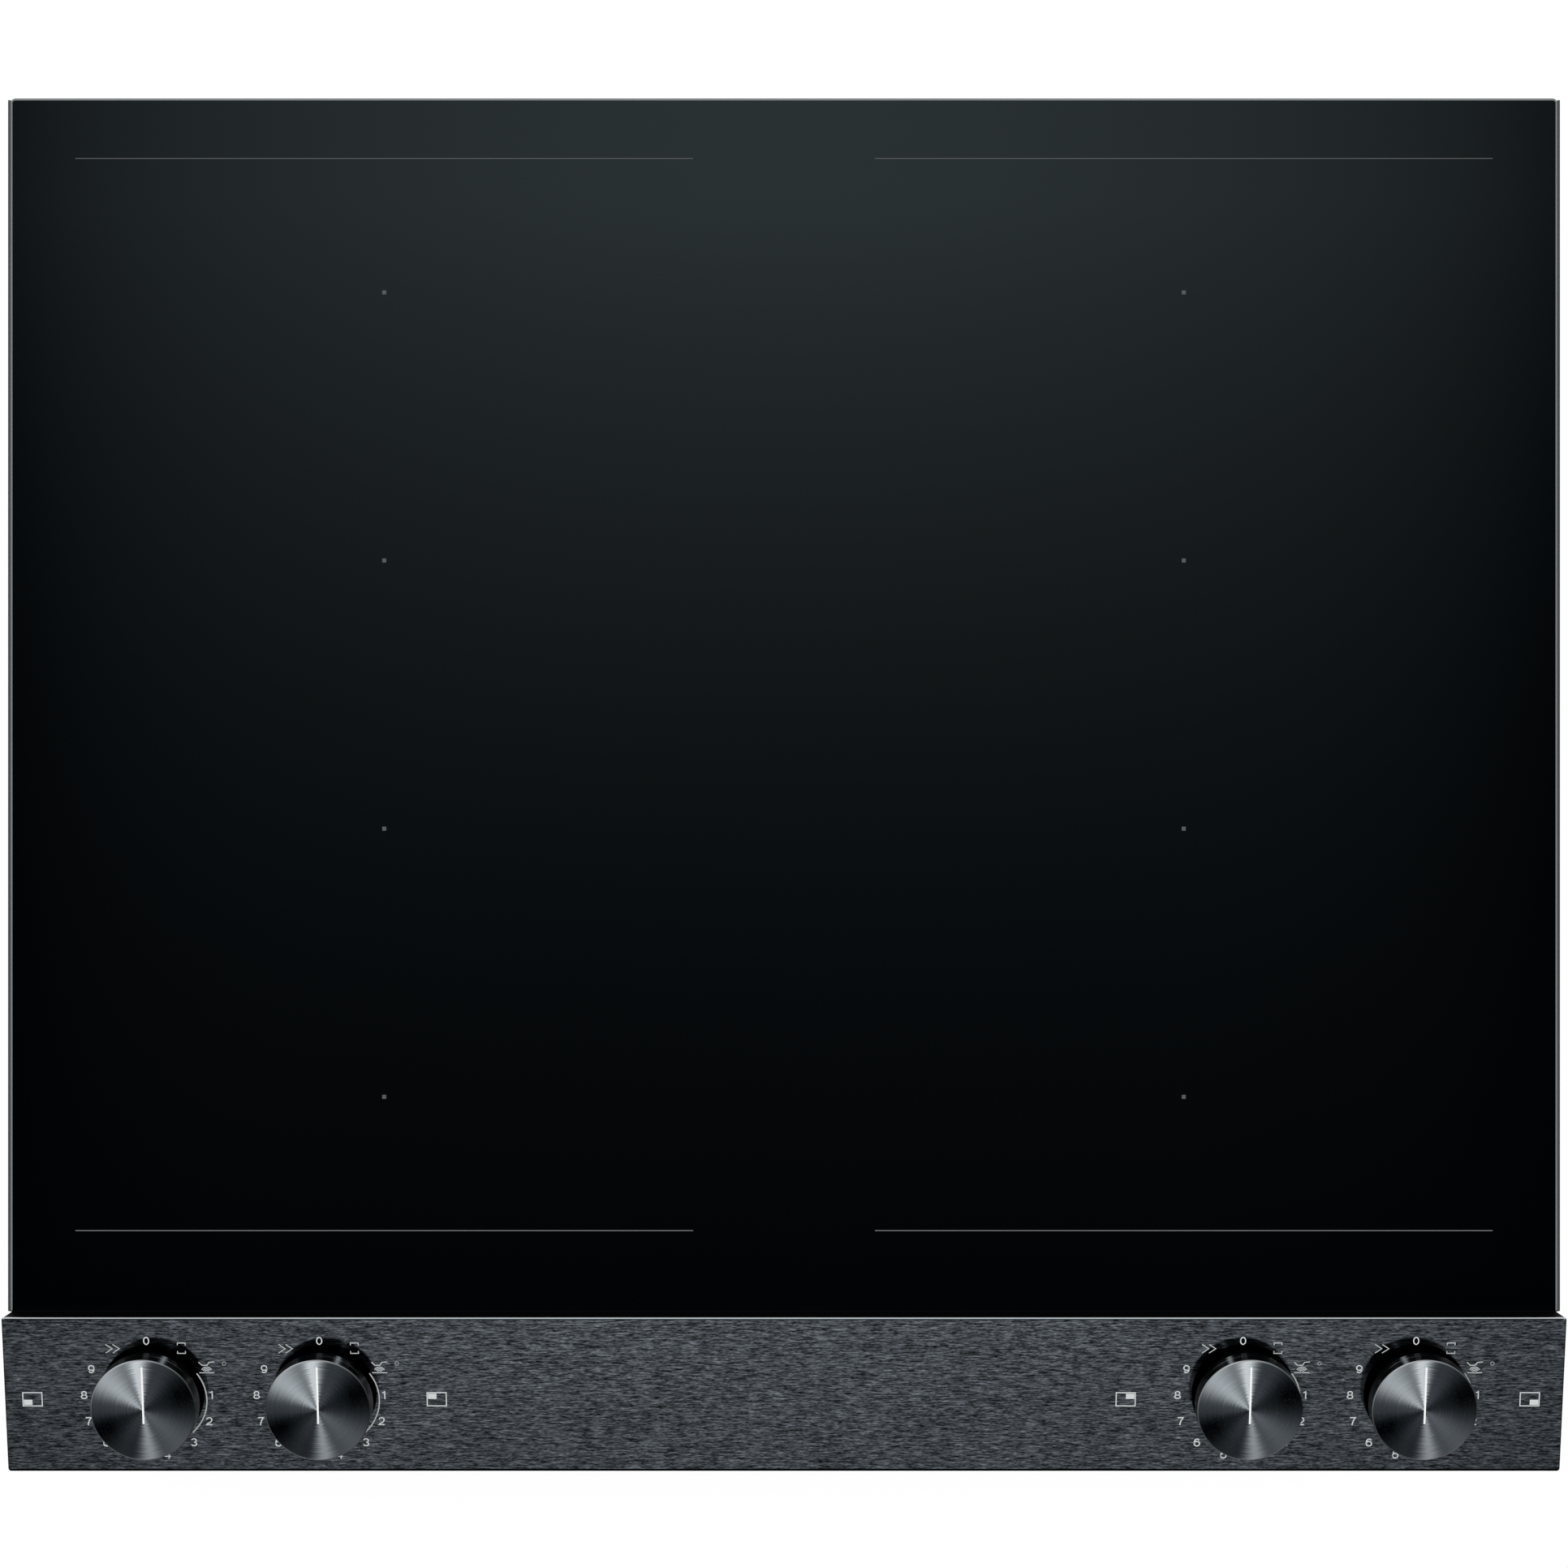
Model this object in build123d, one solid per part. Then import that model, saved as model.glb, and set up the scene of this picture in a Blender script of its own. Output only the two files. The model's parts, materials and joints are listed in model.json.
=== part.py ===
"""Electric induction cooktop: a glass plate with two long flexible cooking zones, and a raised
control panel across the front that carries four rotary knobs.

Frame: X runs to the right, Y to the back and Z up. The origin lies on the worktop's surface, in
the middle of the outline. Lengths are in millimetres and angles in degrees.
"""

import os
from math import cos, radians, sin, tan

from build123d import *

# How far a cutting solid reaches past what it cuts
overcut = 1.0

# Outline seen from above
outline_width = 588.0
outline_depth = 521.0
side_trim_width = 0.8
side_trim_height = 3.4
side_trim_end_gap = 0.7

# Stack from the worktop up to the glass surface
tape_thickness = 1.0
tape_width = 8.0
tape_inset = 3.0
sheet = 0.8
bead_thickness = 0.2
bead_width = 8.0
glass_thickness = 4.0
glass_bevel = 1.0
glass_corner_radius = 2.0

# Control panel, a folded sheet that slopes down to the front
panel_depth = 60.1
panel_slope = 10.0
panel_front_rise = 2.5
panel_skin = 1.0
panel_fold_radius = 0.7
panel_corner_radius = 1.2
panel_skirt_gap = 0.3
panel_seal_width = 0.3
carrier_wall = 1.8
carrier_gap = 0.15
carrier_boss_size = 6.0
carrier_boss_pitch = 59.0
carrier_boss_end_gap = 26.0

# Rotary knobs
knob_from_end = 54.8
knob_pitch = 65.2
knob_from_front = 28.7
knob_radius = 19.7
knob_face_height = 12.4
knob_skirt = 7.6
knob_wall = 2.0
knob_face_wall = 1.8
knob_edge_bevel = 0.4
hub_radius = 5.5
hub_clearance = 0.6
shaft_radius = 3.0
shaft_depth = 5.0
shaft_flat = 1.0
shaft_fit_gap = 0.02
shaft_end_gap = 0.2
running_gap = 0.05
pointer_width = 0.7
pointer_depth = 0.5
pointer_out = 17.0
pointer_back = 5.3
ring_outer_radius = 17.0
ring_inner_radius = 13.0
ring_height = 5.3

# Rotary encoders behind the panel
encoder_size = 13.0
encoder_height = 6.1
encoder_gap = 0.1
bushing_radius = 4.5
bushing_height = 2.6
bushing_hole_gap = 0.2
encoder_window_gap = 1.5
operating_board_end_gap = 20.0
operating_board_front = 10.0
operating_board_back_gap = 9.7
board_thickness = 1.6

# Sheet-metal tray that hangs in the worktop's cut-out
tray_side_overhang = 17.0
tray_end_overhang = 20.0
tray_drop = 54.0
tray_corner_radius = 6.0
tray_fold = 2.5
tray_top_gap = 0.1
collar_drop = 12.0
fit_gap = 0.1
crossbar_width = 12.0

# Air outlets pressed into the tray's back wall
louvre_length = 30.0
louvre_pitch = 42.0
louvre_from_side = 63.0
louvre_end_gap = 20.0
louvre_heights = (-24.0, -38.0)
louvre_rise = 5.0
louvre_reach = 2.4

# Cooking zones and their coils
zone_spacing = 73.6
zone_side_gap = 8.5
zone_front_gap = 26.8
zone_back_gap = 3.9
coil_count = 4
coil_gap = 4.8
winding_width = 34.0
winding_thickness = 3.2
mica_thickness = 0.5
mica_margin = 2.0
coil_carrier_thickness = 2.0
core_gap = 0.6
core_corner = 9.0
core_top_gap = 0.3
sensor_size = 10.0
sensor_gap = 0.2
ferrite_length = 40.0
ferrite_width = 9.0
ferrite_thickness = 4.0
ferrite_spread = 60.0
ferrite_rows = 3
coil_plate_thickness = 1.2
coil_plate_rim = 5.0
buffer_size = 12.0
buffer_height = 6.0

# Electronics on the tray floor
tray_carrier_thickness = 1.5
tray_carrier_gap = 5.2
tray_carrier_blower_gap = 2.0
column_end_gap = 12.0
column_side_gap = 8.0
standoff_height = 5.0
standoff_size = 8.0
power_board_inner_x = 6.0
power_board_width = 204.0
power_board_gap = 2.0
heat_sink_width = 44.0
heat_sink_length = 170.0
heat_sink_clearance = 4.2
heat_sink_base = 4.0
fin_count = 9
fin_thickness = 1.6
filter_board_width = 120.0
filter_board_depth = 34.0
filter_board_from_back = 26.0
filter_choke = (26.0, 22.0, 20.0)
filter_choke_pitch = 36.0
film_capacitor = (22.0, 40.0, 24.0)
film_pitch = 32.0
film_from_front = 38.0
choke = (30.0, 30.0, 20.0)
choke_pitch = 44.0
choke_from_front = 113.0
rectifier = (30.0, 8.0, 18.0)
rectifier_from_back = 56.0
component_from_sink = 31.0

# Radial blower
blower_x = -41.0
blower_from_front = 80.0
blower_height = 30.0
blower_wall = 1.5
cover_thickness = 2.0
scroll_radius = 44.0
scroll_growth = 5.0
scroll_tongue_angle = 60.0
scroll_tongue_width = 2.0
scroll_outlet = 62.0
wheel_radius = 40.0
wheel_top_gap = 2.0
wheel_plate = 1.5
blade_count = 9
blade_height = 18.0
blade_inner_radius = 26.0
blade_thickness = 1.2
blade_lag = 30.0
hub_cup_radius = 18.0
hub_cup_wall = 2.0
hub_cup_depth = 15.0
stator_gap = 1.0
stator_height = 10.0
spindle_radius = 2.0
spindle_running_gap = 0.04
inlet_radius = 30.0
intake_radius = 34.0
intake_slot = 4.0
intake_pitch = 8.0

# Mains terminal pocket in the tray's back right corner
pocket_from_side = 77.0
pocket_width = 100.0
pocket_depth = 44.0
pocket_height = 26.0
box_gap = 0.6
box_wall = 2.0
box_setback = 6.0
lid_thickness = 2.0
cable_radius = 6.5
cable_offset = 28.0
cable_rise = 13.0
terminal_count = 5
terminal_pitch = 11.0
terminal_block_depth = 14.0
terminal_block_height = 14.0
terminal_partition = 2.0
terminal_back = 3.0
clamp_width = 8.0
clamp_wall = 2.0

# Worktop clips
clip_from_end = 90.0
clip_width = 16.0
clip_thickness = 0.8
clip_below_worktop = 2.0
clip_seat = 12.0
clip_bow = 3.8
clip_bow_drop = 12.0
clip_tail_drop = 12.0
clip_tail_gap = 1.0

# Levels that follow from the stack
frame_top = tape_thickness + sheet
glass_bottom = frame_top + bead_thickness
glass_top = glass_bottom + glass_thickness
mica_bottom = glass_bottom - mica_thickness
winding_bottom = mica_bottom - winding_thickness
coil_carrier_bottom = winding_bottom - coil_carrier_thickness
coil_plate_top = coil_carrier_bottom - ferrite_thickness
coil_plate_bottom = coil_plate_top - coil_plate_thickness
column_top = coil_plate_bottom - buffer_height
tray_floor = sheet - tray_drop
tray_carrier_top = tray_floor + tray_carrier_thickness
power_board_bottom = tray_carrier_top + standoff_height
power_board_top = power_board_bottom + board_thickness
heat_sink_top = coil_plate_bottom - coil_plate_rim - heat_sink_clearance
filter_board_top = tray_floor + standoff_height + board_thickness
cable_z = cable_rise - tray_drop

# Places that follow from the outline
back_y = outline_depth / 2
front_y = -outline_depth / 2
half_width = outline_width / 2
panel_back_y = front_y + panel_depth
glass_front_y = panel_back_y + panel_seal_width
trim_outer_x = half_width + fit_gap / 2 + side_trim_width
sides = {"left": -1, "right": 1}

# Control panel, measured along its slope where a value says so
knob_y = front_y + knob_from_front
knob_outer_x = half_width - knob_from_end
knob_inner_x = knob_outer_x - knob_pitch
knob_x = (-knob_outer_x, -knob_inner_x, knob_inner_x, knob_outer_x)
encoder_board_top = -(panel_skin + encoder_gap + encoder_height)
slope_behind_knob = (panel_depth - knob_from_front) / cos(radians(panel_slope))
operating_board_back = slope_behind_knob - operating_board_back_gap
carrier_boss_rise = operating_board_back - carrier_boss_size
carrier_boss_x = (
    carrier_boss_pitch,
    2 * carrier_boss_pitch,
    knob_inner_x + knob_pitch / 2,
    half_width - carrier_boss_end_gap,
)

# Tray and what hangs from or stands in it
tray_width = outline_width - 2 * tray_side_overhang
tray_depth = outline_depth - 2 * tray_end_overhang
tray_side_x = tray_width / 2
tray_back_y = tray_depth / 2
window_inset = 2 * sheet + fit_gap
pocket_x = tray_side_x - pocket_from_side
cable_x = pocket_x + cable_offset
louvre_first_x = louvre_from_side - tray_side_x
louvre_span = pocket_x - pocket_width / 2 - louvre_end_gap - louvre_length / 2 - louvre_first_x
louvre_count = 1 + int(louvre_span / louvre_pitch)
clip_y = tray_back_y - clip_from_end

# Zones between the collar, the crossbar and the middle
zone_outer_x = tray_side_x - window_inset - zone_side_gap
zone_inner_x = zone_spacing / 2
zone_front_y = panel_back_y + crossbar_width / 2 + zone_front_gap
zone_back_y = tray_back_y - window_inset - zone_back_gap
coil_length = zone_outer_x - zone_inner_x
coil_pitch = (zone_back_y - zone_front_y + coil_gap) / coil_count
coil_width = coil_pitch - coil_gap
zone_x = (zone_inner_x + zone_outer_x) / 2
zone_y = (zone_front_y + zone_back_y) / 2
coil_y = [zone_y + coil_pitch * (i - (coil_count - 1) / 2) for i in range(coil_count)]

# Electronics between the blower and the terminal pocket
blower_y = blower_from_front - tray_back_y
tray_carrier_half_width = tray_side_x - sheet - tray_carrier_gap
tray_carrier_front = blower_y + scroll_outlet + tray_carrier_blower_gap
tray_carrier_back = tray_back_y - pocket_depth - sheet - tray_carrier_gap
column_inner_x = zone_inner_x + column_side_gap
column_outer_x = zone_outer_x - column_side_gap
column_front_y = tray_carrier_front + column_end_gap
column_back_y = tray_carrier_back - column_end_gap
column_places = (
    (column_inner_x, column_front_y),
    (column_outer_x, column_front_y),
    (column_outer_x, (column_front_y + column_back_y) / 2),
    (column_inner_x, column_back_y),
    (column_outer_x, column_back_y),
)
power_board_front = column_front_y + buffer_size / 2 + power_board_gap
power_board_back = column_back_y - buffer_size / 2 - power_board_gap
component_x = power_board_inner_x + heat_sink_width + component_from_sink
film_y = power_board_front + film_from_front
choke_y = power_board_front + choke_from_front
rectifier_y = power_board_back - rectifier_from_back
filter_board_y = tray_back_y - filter_board_from_back


def block(x, y, z):
    """Box between the low and high values given for each axis."""
    size = [high - low for low, high in (x, y, z)]
    centre = [(low + high) / 2 for low, high in (x, y, z)]
    return Pos(*centre) * Box(*size)


def mirrored_span(side, near, far):
    """X range from near to far, on the left or the right of the middle."""
    return tuple(sorted((side * near, side * far)))


def plan(half_x, low_y, high_y):
    """Flat rectangle, symmetrical about the middle plane."""
    return Pos(0, (low_y + high_y) / 2) * Rectangle(2 * half_x, high_y - low_y)


def group(pieces):
    """Several separate solids that share one node."""
    return Compound(children=list(pieces))


def panel_height(y):
    """Height of the panel's outer surface."""
    return glass_top + panel_front_rise + (y - front_y) * tan(radians(panel_slope))


def on_panel(x, rise=0.0):
    """Place on the panel level with the knobs; its local Z is the panel's outward normal.

    rise moves the place up the slope, towards the back.
    """
    y = knob_y + rise * cos(radians(panel_slope))
    return Location((x, y, panel_height(y)), (panel_slope, 0, 0))


# Glass, frame and seals


def glass_plate():
    outline = plan(half_width, glass_front_y, back_y)
    outline = fillet(outline.vertices().group_by(Axis.Y)[-1], glass_corner_radius)
    plate = extrude(Pos(0, 0, glass_bottom) * outline, glass_thickness)
    rim = plate.faces().sort_by(Axis.Z)[-1].edges().sort_by(Axis.Y)[1:]
    return chamfer(rim, glass_bevel)


def side_trim(side):
    inner_x = half_width + fit_gap / 2
    return block(
        mirrored_span(side, inner_x, trim_outer_x),
        (panel_back_y, back_y - side_trim_end_gap),
        (frame_top, frame_top + side_trim_height),
    )


def sealing_tape():
    outer = plan(half_width - tape_inset, front_y + tape_inset, back_y - tape_inset)
    edge = tape_inset + tape_width
    inner = plan(half_width - edge, front_y + edge, back_y - edge)
    return extrude(outer - inner, tape_thickness)


def tray_outline(inset):
    """Plan of the tray with rounded corners, smaller by inset all round."""
    corner = tray_corner_radius - inset
    return RectangleRounded(tray_width - 2 * inset, tray_depth - 2 * inset, corner)


def carrier_frame():
    """Flat sheet under the glass and the panel, with a collar that drops into the tray."""
    panel_inset = panel_skin + fit_gap
    flat = plan(trim_outer_x, panel_back_y, back_y - fit_gap)
    flat += plan(half_width - panel_inset, front_y + panel_inset, panel_back_y)
    collar_outer = tray_outline(sheet + fit_gap)
    window = tray_outline(window_inset)
    middle = panel_back_y + crossbar_width / 2
    crossbar = plan(half_width, middle - crossbar_width, middle)
    frame = extrude(Pos(0, 0, tape_thickness) * (flat - (window - crossbar)), sheet)
    collar = extrude(Pos(0, 0, -collar_drop) * (collar_outer - window), collar_drop + tape_thickness)
    return frame + collar


def silicone_beads():
    """Bead that bonds the glass to the frame, and the line between glass and panel."""
    inset = tape_inset
    edge = inset + bead_width
    outer = plan(half_width - inset, glass_front_y, back_y - inset)
    inner = plan(half_width - edge, glass_front_y + crossbar_width / 4, back_y - edge)
    bond = extrude(Pos(0, 0, frame_top) * (outer - inner), bead_thickness)
    joint = block((-half_width, half_width), (panel_back_y, glass_front_y), (frame_top, glass_top))
    return group([bond, joint])


# Tray


def tray_block(inset, top):
    """Solid form of the tray, inset all round, with the pocket for the mains terminal cut in."""
    form = extrude(Pos(0, 0, inset - tray_drop) * tray_outline(inset), top + tray_drop - inset)
    bottom = form.faces().sort_by(Axis.Z)[0].edges()
    form = chamfer(bottom, tray_fold - inset / 2)
    return form - pocket_space(inset)


def pocket_space(grow):
    """Space of the terminal pocket, open to the back and below."""
    reach = pocket_width / 2 + grow
    return block(
        (pocket_x - reach, pocket_x + reach),
        (tray_back_y - pocket_depth - grow, back_y),
        (-2 * tray_drop, pocket_height - tray_drop + grow),
    )


def louvre(x, z):
    """Pressed hood over one air slot, and the slot behind it."""
    wall = tray_back_y
    hood = Polyline((wall, z), (wall + louvre_reach, z), (wall, z + louvre_rise), close=True)
    hollow = Polyline(
        (wall - sheet, z),
        (wall + louvre_reach - sheet, z),
        (wall, z + louvre_rise - 1.5 * sheet),
        (wall - sheet, z + louvre_rise - 1.5 * sheet),
        close=True,
    )
    side_on = Plane(origin=(x, 0, 0), x_dir=(0, 1, 0), z_dir=(1, 0, 0))
    outside = extrude(side_on * make_face(hood), louvre_length / 2, both=True)
    inside = extrude(side_on * make_face(hollow), louvre_length / 2 - sheet, both=True)
    return outside, inside


def intake_slots():
    """Parallel slots under the blower's inlet, cut off by a circle."""
    rows = int((intake_radius - intake_slot) / intake_pitch)
    spine = Rectangle(intake_slot, 2 * intake_radius)
    slots = []
    for i in range(-rows, rows + 1):
        row = Pos(0, intake_pitch * i) * Rectangle(2 * intake_radius, intake_slot)
        slot = (Circle(intake_radius) & row) - spine
        slots.append(extrude(Pos(blower_x, blower_y, -tray_drop - sheet) * slot, 3 * sheet))
    return slots


def base_tray():
    top = tape_thickness - tray_top_gap
    tray = tray_block(0, top) - tray_block(sheet, top + sheet)
    places = [(louvre_first_x + louvre_pitch * i, z) for i in range(louvre_count) for z in louvre_heights]
    hoods, slots = zip(*(louvre(x, z) for x, z in places))
    tray = tray + list(hoods) - list(slots)
    return tray - intake_slots()


def mounting_clips():
    """Bowed leaf springs that grip the sides of the worktop's cut-out."""
    middle = clip_thickness / 2
    seat_end = -clip_below_worktop - clip_seat
    bow_z = seat_end - clip_bow_drop
    line = Polyline(
        (middle, -clip_below_worktop),
        (middle, seat_end),
        (clip_bow - middle, bow_z),
        (clip_tail_gap + middle, bow_z - clip_tail_drop),
    )
    clip = extrude(Plane.XZ * trace(line, clip_thickness), clip_width / 2, both=True)
    clips = []
    for side in (-1, 1):
        turned = clip if side > 0 else mirror(clip, Plane.YZ)
        clips += [Pos(side * tray_side_x, end * clip_y, 0) * turned for end in (-1, 1)]
    return group(clips)


# Coils


def zone_sheet(side, margin, bottom, thickness):
    """Flat sheet under one cooking zone, larger than its coils by margin."""
    half_x = coil_length / 2 + margin
    half_y = (coil_pitch * (coil_count - 1) + coil_width) / 2 + margin
    return block(
        (side * zone_x - half_x, side * zone_x + half_x),
        (zone_y - half_y, zone_y + half_y),
        (bottom, bottom + thickness),
    )


def mica_sheets():
    return group(zone_sheet(side, mica_margin / 2, mica_bottom, mica_thickness) for side in (-1, 1))


def winding_core(gap):
    """Plan of a core inside a winding: a long bar with cut corners."""
    width = coil_width - 2 * winding_width - 2 * gap
    core = Rectangle(coil_length - 2 * winding_width - 2 * gap, width)
    return chamfer(core.vertices(), min(core_corner, width / 3))


def winding(side, y):
    ring = SlotOverall(coil_length, coil_width) - winding_core(0)
    return extrude(Pos(side * zone_x, y, winding_bottom) * ring, winding_thickness)


def coil_carrier(side):
    """Moulded plate with a raised core inside each winding and a seat for its sensor."""
    carrier = zone_sheet(side, 0, coil_carrier_bottom, coil_carrier_thickness)
    core = winding_core(core_gap)
    for y in coil_y:
        carrier += extrude(Pos(side * zone_x, y, winding_bottom) * core, winding_thickness - core_top_gap)
        carrier -= sensor(side, y, sensor_gap)
    return carrier


def sensor(side, y, grow=0.0):
    reach = sensor_size / 2 + grow
    return block(
        (side * zone_x - reach, side * zone_x + reach),
        (y - reach, y + reach),
        (coil_carrier_bottom, mica_bottom),
    )


def coil_sensors():
    return group(sensor(side, y) for side in (-1, 1) for y in coil_y)


def ferrite_bars():
    """Bars across both long sides of each winding."""
    bars = []
    for side in (-1, 1):
        for y in coil_y:
            for i in range(ferrite_rows):
                x = side * zone_x + ferrite_spread * 2 * (i / (ferrite_rows - 1) - 0.5)
                for half in (-1, 1):
                    middle = y + half * (coil_width - ferrite_length) / 2
                    bars.append(
                        block(
                            (x - ferrite_width / 2, x + ferrite_width / 2),
                            (middle - ferrite_length / 2, middle + ferrite_length / 2),
                            (coil_plate_top, coil_carrier_bottom),
                        )
                    )
    return group(bars)


def coil_plate(side):
    """Aluminium sheet that carries one zone's coils, with its two end rims folded down."""
    plate = zone_sheet(side, 0, coil_plate_bottom, coil_plate_thickness)
    rim = zone_sheet(side, 0, coil_plate_bottom - coil_plate_rim, coil_plate_rim)
    reach = coil_length / 2 - coil_plate_thickness
    hollow = block(
        (side * zone_x - reach, side * zone_x + reach),
        (front_y, back_y),
        (coil_plate_bottom - coil_plate_rim, coil_plate_bottom),
    )
    return plate + (rim - hollow)


def rubber_buffers():
    reach = buffer_size / 2
    return group(
        block(
            (side * x - reach, side * x + reach),
            (y - reach, y + reach),
            (column_top, coil_plate_bottom),
        )
        for side in (-1, 1)
        for x, y in column_places
    )


# Electronics


def tray_carrier():
    """Moulded floor with columns under the coil plates and standoffs under the boards."""
    carrier = block(
        (-tray_carrier_half_width, tray_carrier_half_width),
        (tray_carrier_front, tray_carrier_back),
        (tray_floor, tray_carrier_top),
    )
    reach = buffer_size / 2
    studs = []
    for side in (-1, 1):
        for x, y in column_places:
            column = block(
                (side * x - reach, side * x + reach), (y - reach, y + reach), (tray_carrier_top, column_top)
            )
            studs.append(column)
        for x, y in standoff_places():
            studs.append(
                block(
                    (side * x - standoff_size / 2, side * x + standoff_size / 2),
                    (y - standoff_size / 2, y + standoff_size / 2),
                    (tray_carrier_top, power_board_bottom),
                )
            )
    return carrier + studs


def standoff_places():
    inset = standoff_size
    for x in (power_board_inner_x + inset, power_board_inner_x + power_board_width - inset):
        for y in (power_board_front + inset, power_board_back - inset):
            yield x, y


def power_board(side):
    return block(
        mirrored_span(side, power_board_inner_x, power_board_inner_x + power_board_width),
        (power_board_front, power_board_back),
        (power_board_bottom, power_board_top),
    )


def heat_sink(side):
    """Extruded comb of fins, with its channels along the air stream."""
    low = power_board_inner_x
    base = block(
        mirrored_span(side, low, low + heat_sink_width),
        (power_board_front, power_board_front + heat_sink_length),
        (power_board_top, power_board_top + heat_sink_base),
    )
    pitch = (heat_sink_width - fin_thickness) / (fin_count - 1)
    fins = [
        block(
            mirrored_span(side, low + pitch * i, low + pitch * i + fin_thickness),
            (power_board_front, power_board_front + heat_sink_length),
            (power_board_top, heat_sink_top),
        )
        for i in range(fin_count)
    ]
    return base + fins


def component_row(size, side, first_x, pitch, count, y, bottom=None):
    """Row of equal block-shaped components, counted outwards from the middle."""
    bottom = power_board_top if bottom is None else bottom
    width, depth, height = size
    for i in range(count):
        x = side * (first_x + pitch * i)
        yield block(
            (x - width / 2, x + width / 2), (y - depth / 2, y + depth / 2), (bottom, bottom + height)
        )


def power_components():
    """Film capacitors, chokes and rectifiers on the power boards, and the mains filter's chokes."""
    pieces = []
    for side in (-1, 1):
        pieces += component_row(film_capacitor, side, component_x, film_pitch, 4, film_y)
        pieces += component_row(choke, side, component_x, choke_pitch, 3, choke_y)
        pieces += component_row(rectifier, side, component_x, choke_pitch, 2, rectifier_y)
    first = -filter_choke_pitch
    pieces += component_row(filter_choke, 1, first, filter_choke_pitch, 3, filter_board_y, filter_board_top)
    return group(pieces)


def filter_board():
    """Mains filter board on its own two rails."""
    board = block(
        (-filter_board_width / 2, filter_board_width / 2),
        (filter_board_y - filter_board_depth / 2, filter_board_y + filter_board_depth / 2),
        (filter_board_top - board_thickness, filter_board_top),
    )
    rails = [
        block(
            (x - standoff_size / 2, x + standoff_size / 2),
            (filter_board_y - filter_board_depth / 2, filter_board_y + filter_board_depth / 2),
            (tray_floor, filter_board_top - board_thickness),
        )
        for x in (standoff_size / 2 - filter_board_width / 2, filter_board_width / 2 - standoff_size / 2)
    ]
    return board + rails


# Blower

blower_centre = Pos(blower_x, blower_y)
blower_top = tray_floor + blower_height
cover_bottom = blower_top - cover_thickness
wheel_top = cover_bottom - wheel_top_gap


def scroll_outline(inset=0.0, outlet=scroll_outlet):
    """Plan of the blower's channel: a volute of tangent arcs that runs out into a straight outlet.

    Each arc is larger than the one before by the growth, and its centre lies that much further on.
    """
    radius = scroll_radius - inset
    first = CenterArc((0, 0), radius, scroll_tongue_angle, 180 - scroll_tongue_angle)
    second = CenterArc((scroll_growth, 0), radius + scroll_growth, 180, 90)
    third = CenterArc((scroll_growth, scroll_growth), radius + 2 * scroll_growth, 270, 90)
    start, end = first @ 0, third @ 1
    tongue_x = scroll_radius * cos(radians(scroll_tongue_angle)) + scroll_tongue_width + inset
    tongue_y = scroll_radius * sin(radians(scroll_tongue_angle)) - inset
    duct = Polyline(end, (end.X, outlet), (tongue_x, outlet), (tongue_x, tongue_y), start)
    return make_face(Curve() + [first, second, third, duct])


def blower_housing():
    """Scroll-shaped shell with its inlet in the floor, open above until the cover closes it."""
    height = cover_bottom - tray_floor
    channel = scroll_outline(blower_wall, scroll_outlet + blower_wall)
    shell = extrude(scroll_outline(), height)
    shell -= extrude(Pos(0, 0, blower_wall) * channel, height)
    shell -= Cylinder(inlet_radius, 4 * blower_wall)
    return Pos(0, 0, tray_floor) * blower_centre * shell


def blower_cover():
    plate = extrude(Pos(0, 0, cover_bottom) * scroll_outline(), cover_thickness)
    return blower_centre * plate


def blower_motor():
    """Stator under the cover, with the fixed spindle that the wheel runs on."""
    stator_radius = hub_cup_radius - hub_cup_wall - stator_gap
    stator = Pos(0, 0, cover_bottom - stator_height / 2) * Cylinder(stator_radius, stator_height)
    spindle_length = wheel_top_gap + hub_cup_depth + hub_cup_wall
    spindle = Pos(0, 0, cover_bottom - spindle_length / 2) * Cylinder(spindle_radius, spindle_length)
    return blower_centre * (stator + spindle)


def blade():
    """One backward-curved blade that joins the back plate's rim to the inlet radius."""
    middle_radius = (blade_inner_radius + wheel_radius) / 2
    points = [
        (radius * cos(radians(angle)), radius * sin(radians(angle)))
        for radius, angle in (
            (blade_inner_radius, 0),
            (middle_radius, -0.4 * blade_lag),
            (wheel_radius - blade_thickness, -blade_lag),
        )
    ]
    return extrude(trace(ThreePointArc(*points), blade_thickness), -blade_height)


def blower_wheel():
    """Back plate with a cup over the stator and a ring of blades below it."""
    plate = Pos(0, 0, -wheel_plate / 2) * Cylinder(wheel_radius, wheel_plate)
    cup = Pos(0, 0, -hub_cup_depth / 2) * Cylinder(hub_cup_radius, hub_cup_depth)
    hollow_depth = hub_cup_depth - hub_cup_wall
    hollow = Pos(0, 0, -hollow_depth / 2) * Cylinder(hub_cup_radius - hub_cup_wall, hollow_depth)
    bore = Cylinder(spindle_radius + spindle_running_gap, 3 * hub_cup_depth)
    blades = PolarLocations(0, blade_count) * (Pos(0, 0, -wheel_plate) * blade())
    wheel = plate + cup + list(blades) - hollow - bore
    return Pos(0, 0, wheel_top) * blower_centre * wheel


# Control panel


def panel_wedge(inset, floor):
    """Solid wedge of the panel, inset all round, standing on floor."""
    back = panel_back_y - inset
    front = front_y + inset
    drop = inset / cos(radians(panel_slope))
    side_view = Polyline(
        (back, floor),
        (back, panel_height(back) - drop),
        (front, panel_height(front) - drop),
        (front, floor),
        close=True,
    )
    return extrude(Plane.YZ * make_face(side_view), half_width - inset, both=True)


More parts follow.
